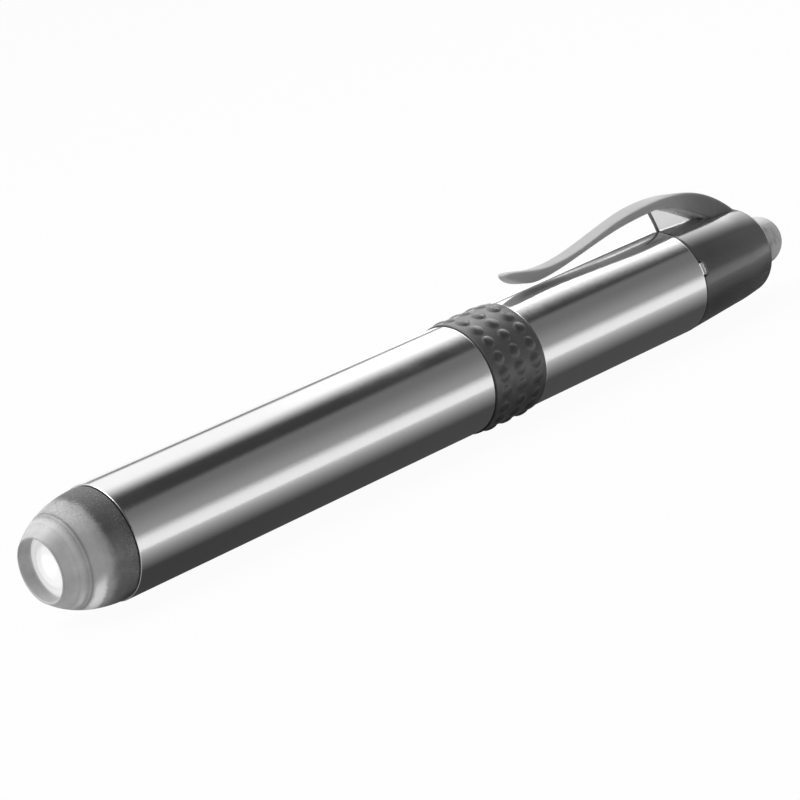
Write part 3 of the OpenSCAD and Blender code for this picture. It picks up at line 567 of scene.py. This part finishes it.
def make_cap(smoke):
    """The cap, with a rounded slot cut into its front edge."""
    shape = turn(cap_outline())
    soften(shape, 0.07, 50, 3)
    cap = piece("cap_body", shape, smoke, "rear_half", ["rear_cap"])
    tool = add_mesh("slot_cutter", slot_block((2.15, 2.2, 2.2), CAP_SEAM, 7.25, 0.85, 8))
    cut = cap.modifiers.new("slot", "BOOLEAN")
    cut.operation, cut.solver, cut.object = "DIFFERENCE", "EXACT", tool
    bpy.context.view_layer.update()
    carved = cap.evaluated_get(bpy.context.evaluated_depsgraph_get())
    carved_mesh = bpy.data.meshes.new_from_object(carved)
    cap.modifiers.clear()
    cap.data = carved_mesh
    bpy.data.objects.remove(tool)


def make_tab():
    """The bent end of the metal strip, which shows in the cap's slot."""
    shape = slot_block((0.76, 1.6, 0.3), CAP_SEAM + 0.47, 6.62, 0.3, 6)
    soften(shape, 0.06, 50, 3)
    bright = moulded("tinned_tab_painted_glow", (0.9, 0.9, 0.89), 0.25, 5.0, 0.004, 0.6)
    # Painted glow: the tab gives white light of its own, standing in for light in the slot
    bright.set(Emission_Color=(1.0, 1.0, 1.0), Emission_Strength=0.75)
    piece("strip_tab", shape, bright, "rear_half")


# Side outline of the clip, as three cubic curves over it and three under it
CLIP_L, ARCH_L, ARCH_FALL, CREST_T = 28.1, 15.2, 5.64, 1.3
CREST, ROOT = (CAP_SEAM - 0.6, 11.38), (CAP_SEAM + 14.6, 5.74)
TIP, VALLEY = (CREST[0] - CLIP_L, 9.9), (CREST[0] - 0.712 * CLIP_L, 8.9)
PAD = (CREST[0] - 0.818 * CLIP_L, 7.6)
STRAP_TOP = [
    [TIP, (TIP[0] + 0.075 * CLIP_L, TIP[1] + 0.3),
     (VALLEY[0] - 0.14 * CLIP_L, VALLEY[1]), VALLEY],
    [VALLEY, (VALLEY[0] + 0.249 * CLIP_L, VALLEY[1]),
     (CREST[0] - 0.285 * CLIP_L, CREST[1]), CREST],
    [CREST, (CREST[0] + 0.38 * ARCH_L, CREST[1]),
     (CREST[0] + 0.71 * ARCH_L, CREST[1] - 0.22 * ARCH_FALL), ROOT],
]
UNDER_CREST = (CREST[0], CREST[1] - CREST_T)
STRAP_UNDER = [
    [TIP, (TIP[0] + 0.025 * CLIP_L, (TIP[1] + PAD[1]) / 2),
     (PAD[0] - 0.08 * CLIP_L, PAD[1]), PAD],
    [PAD, (PAD[0] + 0.196 * CLIP_L, PAD[1]),
     (CREST[0] - 0.32 * CLIP_L, UNDER_CREST[1]), UNDER_CREST],
    [UNDER_CREST, (CREST[0] + 0.16 * ARCH_L, UNDER_CREST[1]),
     (CREST[0] + 0.35 * ARCH_L, UNDER_CREST[1] - 0.25 * ARCH_FALL),
     (CREST[0] + 0.67 * ARCH_L, ROOT[1])],
]
STATIONS = 32


def side_curve(curves):
    """Points along joined cubic curves in the XZ plane."""
    points = []
    for knots in curves:
        run = interpolate_bezier(*[Vector((x, 0, z)) for x, z in knots], STATIONS + 1)
        points += run if not points else run[1:]
    return points


def half_width(x):
    """Half of the strap's width at a place along the barrel."""
    tip_x, round_l, flare_l, slim, wide, root = TIP[0], 3.0, 9.0, 1.5, 2.05, 1.65
    if x < tip_x + round_l:
        left = 1 - max(x - tip_x, 0) / round_l
        return slim * math.sqrt(max(1 - left * left, 0))
    if x < CREST[0] - flare_l:
        return slim
    if x < CREST[0]:
        share = 1 - (CREST[0] - x) / flare_l
        return slim + (wide - slim) * share * share * (3 - 2 * share)
    return wide + (root - wide) * (x - CREST[0]) / (ROOT[0] + 1 - CREST[0])


def make_strap(smoke):
    """The whole strap from tip to root as one bar, rounded along its edges, which bends over the
    joint. The arch's underside is painted pale, standing in for light that comes through it."""
    top, under = side_curve(STRAP_TOP), side_curve(STRAP_UNDER)
    last = len(top) - 1
    shape = bmesh.new()
    bmesh.ops.create_cube(shape, size=1)
    long_edges = [e for e in shape.edges if abs(e.verts[0].co.x - e.verts[1].co.x) > 0.5]
    round_edges(shape, long_edges, 0.17, 6)
    for i in range(1, last):
        bmesh.ops.bisect_plane(shape, geom=shape.verts[:] + shape.edges[:] + shape.faces[:],
                               plane_co=(i / last - 0.5, 0, 0), plane_no=(1, 0, 0))
    below = shape.verts.layers.float.new("underside")
    for vert in shape.verts:
        i = min(max(round((vert.co.x + 0.5) * last), 0), last)
        vert[below] = 0.5 - vert.co.z
        spot = under[i].lerp(top[i], vert.co.z + 0.5)
        vert.co = (spot.x * MM, 2 * vert.co.y * half_width(spot.x) * MM, spot.z * MM)
    bmesh.ops.remove_doubles(shape, verts=shape.verts, dist=2e-6)
    bmesh.ops.recalc_face_normals(shape, faces=shape.faces)
    x = smoke.axes()[0]
    underside = smoke.node("ShaderNodeAttribute", {"attribute_name": "underside"}, out="Fac")
    # Painted light: the arch's underside is painted pale
    painted_light_through = underside.between(0.93, 1.0) * x.between(CREST[0] + 1, CREST[0] + 5)
    smoke.set(Base_Color=smoke.blend(painted_light_through, smoke.colour(), 0.9))
    strap = piece("spring_strap", shape, smoke, None, ["clip_arm"], crease=50)
    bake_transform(strap)


def make_web(smoke):
    """The thin web between cap and arch, see-through but for its bowed front edge."""
    foot_x, lean, top_z, foot_z, half_t = CAP_SEAM + 0.85, 1.35, 10.73, 5.67, 0.3
    rise = top_z - foot_z
    edge = interpolate_bezier(*[Vector((x, 0, z)) for x, z in (
        (foot_x - lean, top_z), (foot_x - lean * 0.55, top_z - 0.35 * rise),
        (foot_x - lean * 0.1, top_z - 0.6 * rise), (foot_x, foot_z))], 24)
    under_arch = [Vector((CAP_SEAM + along, 0, z))
                  for along, z in ((10, foot_z), (10, 7.48), (4.872, 10.08))]
    shape = bmesh.new()
    face = shape.faces.new([shape.verts.new(p * MM - Vector((0, half_t * MM, 0)))
                            for p in edge + under_arch])
    grown = bmesh.ops.extrude_face_region(shape, geom=[face])["geom"]
    far_side = [part for part in grown if isinstance(part, bmesh.types.BMVert)]
    bmesh.ops.translate(shape, vec=(0, 2 * half_t * MM, 0), verts=far_side)
    bmesh.ops.recalc_face_normals(shape, faces=shape.faces)
    soften(shape, 0.08, 60, 3)
    x, z = smoke.axes()[::2]
    bow = ((z - foot_z) / rise).at_least(0.0) ** 1.45 * lean
    rim = (x + bow - foot_x).between(0.08, 0.16, 1.0, 0.0)
    smoke.set(Base_Color=smoke.blend(rim, smoke.colour(), 0.12), Alpha=0.27 + rim * 0.7)
    piece("arch_web", shape, smoke, "rear_half")


def make_button():
    """The frosted button with its flange and its hollow."""
    foot, flange, hollow, centre = [CAP_SEAM + along for along in (12.85, 13.95, 17.9, 19)]
    bore_r, flange_r, dome_r = 2.4, 4.7, 3.4
    dome = [(dome_r * math.cos(a), centre + dome_r * math.sin(a))
            for a in (math.pi / 2 * i / 32 for i in range(33))]
    shape = turn([(bore_r, foot), (flange_r, foot), (flange_r, flange), (dome_r, flange)] + dome
                 + [(0, hollow), (bore_r, hollow)])
    frost = Finish("frosted_button", Specular_IOR_Level=0.3, Transmission_Weight=0.1)
    x = frost.axes()[0]
    speckle = frost.grain(5.0, detail=4.0, roughness=0.7)
    rod_end = x.within(hollow - 0.8, hollow - 0.2, hollow, hollow + 0.8)
    cloud = frost.grain(0.4, distortion=0.8)
    arcs = (frost.reach() * 3.4 + cloud * 3.0).math("SINE").between(0.2, 1.0)
    tone = rod_end * 0.3 + (cloud - 0.5) * 0.6 + (speckle - 0.5) * 0.15 + arcs * 0.35 + 0.05
    frost.set(
        Base_Color=frost.blend(tone.at_least(0.0), 0.76, 0.20),
        Roughness=0.36 + speckle * 0.15,
        Normal=frost.relief(speckle, 0.012, 0.5),
    )
    piece("button_dome", shape, frost, "button", ["push_button"])


def make_springs():
    """The cone-shaped contact spring, and the button's spring, which a press shortens."""
    wire = turned_metal("spring_wire", (0.72, 0.72, 0.72), 0.22, 60)
    cone = wound_wire(3.6, 1.9, CAP_SEAM - 2.15, CAP_SEAM + 1.65, 0.5, 3)
    piece("tail_coil", cone, wire, "tail_spring", ["tail_spring"])
    straight = wound_wire(2.4, 2.4, CAP_SEAM + 3.45, CAP_SEAM + 6.95, 0.35, 4)
    coil = piece("button_coil", straight, wire, "rear_half", ["button_spring"])
    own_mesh(coil)


# Finishes of the inside


def dress_inside():
    """Gives each CAD node that stays shown its own kind of finish."""
    brass = turned_metal("plated_brass", (0.80, 0.62, 0.30), 0.24)
    nickel = turned_metal("nickel_plate", (0.78, 0.78, 0.79), 0.16)
    tinned = turned_metal("tinned_wire", (0.75, 0.75, 0.75), 0.3)
    bush = turned_metal("bush_metal", (0.66, 0.66, 0.67), 0.3)
    bright = turned_metal("bright_strip", (0.90, 0.89, 0.86), 0.12)
    mirror = turned_metal("reflector_plate", (0.88, 0.88, 0.89), 0.08)
    seal = moulded("seal_rubber", (0.035, 0.035, 0.035), 0.55)
    dark = moulded("dark_moulding", (0.10, 0.10, 0.10), 0.5)
    grey = moulded("grey_moulding", (0.20, 0.20, 0.20), 0.5)
    white = moulded("white_moulding", (0.86, 0.86, 0.84), 0.42)
    film = moulded("ivory_film", (0.84, 0.82, 0.76), 0.35, 2.0)
    jacket = moulded("cell_film", (0.25, 0.33, 0.38), 0.28, 3.0, 0.003, 0.4)
    board = moulded("board_mask", (0.05, 0.20, 0.11), 0.3, 4.0, 0.004, 0.5)
    chip = moulded("chip_coat", (0.05, 0.05, 0.05), 0.4)
    clear = moulded("lamp_epoxy", (0.93, 0.93, 0.90), 0.12, 1.0, 0.001, 0.6)
    kinds = {
        brass: ["front_contact", "ground_ring", "tail_contact", "contact_disc"],
        nickel: ["front_cell_cap", "rear_cell_cap", "front_cell_can", "rear_cell_can"],
        jacket: ["front_cell_jacket", "rear_cell_jacket"],
        seal: ["nose_oring", "joint_oring", "cap_oring"],
        dark: ["lamp_holder", "switch_body"],
        grey: ["switch_retainer", "switch_lid"],
        tinned: ["led_leads"],
        bush: ["threaded_bush"],
        bright: ["ground_strip"],
        mirror: ["reflector"],
        white: ["plunger"],
        film: ["battery_sleeve"],
        board: ["lamp_board"],
        chip: ["resistor"],
        clear: ["led"],
    }
    for finish, nodes in kinds.items():
        for node in nodes:
            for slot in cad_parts[node].material_slots:
                slot.material = finish.material


# Studio


def aim(thing, place, target, upright=(0, 0, 1)):
    """Puts a lamp or the camera at a place, looking at a target, with its top towards upright."""
    back = (Vector(place) - Vector(target)).normalized()
    right = Vector(upright).cross(back).normalized()
    top = back.cross(right)
    turned = Matrix((right, top, back)).transposed().to_4x4()
    thing.matrix_world = Matrix.Translation(place) @ turned


def softbox(name, place, target, size, radiance):
    """A rectangular lamp. Its power is worked out from how bright its face looks."""
    lamp = bpy.data.lights.new(name, "AREA")
    lamp.shape, lamp.size, lamp.size_y = "RECTANGLE", *size
    lamp.energy = radiance * math.pi * size[0] * size[1]
    made = add_object(name, lamp)
    made.visible_camera = False
    aim(made, place, target)


def make_table():
    """A pale table. The camera sees it nearly white, with the penlight's faint shadow. In the steel
    it shows a painted shadow right under the penlight, light beyond that, which draws the light
    line low on the barrel, and painted dimming further away."""
    table = Finish("pale_table", Specular_IOR_Level=0.2)
    x, y = table.axes()[:2]
    cloth = table.grain(0.003)
    table.set(Base_Color=table.blend(cloth, 0.56, 0.60), Roughness=0.6 + cloth * 0.1)
    camera, glass, gloss = [table.node("ShaderNodeLightPath", out=ray) for ray in
                            ("Is Camera Ray", "Is Transmission Ray", "Is Glossy Ray")]
    # Two levels of painted shade, where 1 is black: under, a painted shadow within 18 mm of the
    # penlight's axis, and far, a painted dimming past that
    aside = y.math("ABSOLUTE")
    under = table.node("ShaderNodeMapRange", None, [17.2 - aside, 0.0, 9.7, 0.44, 0.945])
    under = under - x.between(-30, 70) * 0.025
    # Ahead of the nose the painted shadow is partly lifted
    ahead = x.between(-31, -28, 0.35, 0.0)
    lit = aside.between(17.7, 19.2).at_least(ahead)
    front = y.between(-5, 5, 1.0, 0.0)
    far = (aside.between(18, 110) * 0.45 + aside.between(60, 700) * 0.22) * (front * 0.8 + 0.2)
    seen = camera.at_least(glass)
    share = seen * 0.96 + (1 - seen) * gloss
    shade = table.blend((1 - seen) * (far * lit + under * (1 - lit)), 1.0, 0.0)
    glow = table.node("ShaderNodeEmission", None, {"Color": shade, "Strength": 1.0})
    skin = Wire(table, table.skin.outputs[0])
    mixed = table.node("ShaderNodeMixShader", None, {0: share, 1: skin, 2: glow})
    table.tree.links.new(mixed.socket, table.tree.nodes["Material Output"].inputs["Surface"])
    shape = bmesh.new()
    bmesh.ops.create_grid(shape, x_segments=8, y_segments=8, size=20)
    lowest = GRIP_R + NUB_H
    bmesh.ops.translate(shape, vec=(0, 0, -(lowest + 0.02) * MM), verts=shape.verts)
    add_mesh("table_top", shape, table)


def make_room():
    """The studio room, by direction: a wide soft light above and behind the penlight, brighter
    towards its rear, dark zones low behind it, and dim walls. The camera sees plain white."""
    world = bpy.data.worlds.new("studio_room")
    bpy.context.scene.world = world
    world.use_nodes = True
    room = Net(world.node_tree)
    x, y, z = room.node("ShaderNodeTexCoord", out="Generated").apart()
    # Degrees about the barrel: 0 is up, 90 is towards the camera's side, and -90 is behind.
    # The steel mirrors an x of 0.54 at the nose's seam, 0.65 at the ring and 0.70 at the cap.
    round_x = (-y).math("ARCTAN2", z) * math.degrees(1)
    tilt = (x - 0.65).at_least(0.0).at_most(0.08) * 160 + x.between(0.705, 0.725) * 5
    line = 1 - round_x.within(-82, -73, -68, -59) * 0.85
    low = round_x.within(-84, -76, -53, -45) * x.between(0.672, 0.69)
    line = line * (1 - low * 0.93)
    rear = x.between(0.60, 0.67) * x.between(0.74, 0.84, 1.0, 0.35)
    box = (round_x - tilt).between(-43, 12, 2.2, 0.0) * rear * (1 + x.between(0.705, 0.725) * 0.7)
    box = box + round_x.between(-24, 12, 1.08, 0.0) * x.between(0.60, 0.67, 1.0, 0.0)
    edge = 30 + (0.65 - x).at_least(0.0) * 95
    wall = (round_x - edge).between(-4, 4) * 0.13 + round_x.between(45, 95) * 0.17
    strip = x.within(0.15, 0.30, 0.90, 0.98)
    ceiling = 0.12 + (y * 0.5 + z * 0.85).between(0.25, 0.9) * 0.75
    level = strip * (box * line + wall + 0.045) + (1 - strip) * ceiling
    camera = room.node("ShaderNodeLightPath", out="Is Camera Ray")
    ground = room.tree.nodes["Background"]
    room.feed(ground.inputs["Color"], camera + (1 - camera) * level)


def make_studio():
    """The table, the room and one lamp above the nose."""
    make_table()
    make_room()
    softbox("top_softbox", (-0.50, 0.25, 1.0), (0, 0, 0), (0.9, 0.7), 5.8)


def make_camera():
    """The photograph's view, from a fit of the tubes' outlines and seams."""
    lens = bpy.data.cameras.new("photo_camera")
    lens.sensor_width, lens.lens = 36, 132.6
    lens.clip_start, lens.clip_end = 0.01, 50
    camera = add_object("photo_camera", lens)
    eye = Vector((NOSE_SEAM * MM - 0.178873, -0.26813, 0.07249))
    sight = Vector((0.63221, 0.74840, -0.20054))
    aim(camera, eye, eye + sight, upright=(0.32203, -0.01926, 0.94623))
    bpy.context.scene.camera = camera


make_camera()
make_nose()
make_tube("front_barrel", "front_tube", "front_half", NOSE_SEAM, GRIP_FRONT)
make_grip()
make_coupler()
make_tube("rear_barrel", "rear_tube", "rear_half", GRIP_BACK, CAP_SEAM)
make_cap(smoked_plastic("smoked_cap", 0.065, 0.125, CAP_SEAM + 2, CAP_SEAM + 14, 0.15,
                        Coat_Weight=1.0, Coat_IOR=1.5))
make_strap(smoked_plastic("smoked_strap", 0.43, 0.18, CAP_SEAM, CAP_SEAM + 11, 0.36,
                          Specular_IOR_Level=0.15, Subsurface_Weight=0.35,
                          Subsurface_Radius=(1.0, 1.0, 1.0), Subsurface_Scale=0.0015))
make_web(smoked_plastic("thin_web", 0.95, 0.70, CAP_SEAM + 3, CAP_SEAM + 10, 0.25, Coat_Weight=0.2))
make_tab()
make_button()
make_springs()
dress_inside()
make_studio()

bpy.context.scene.view_settings.view_transform = "Standard"
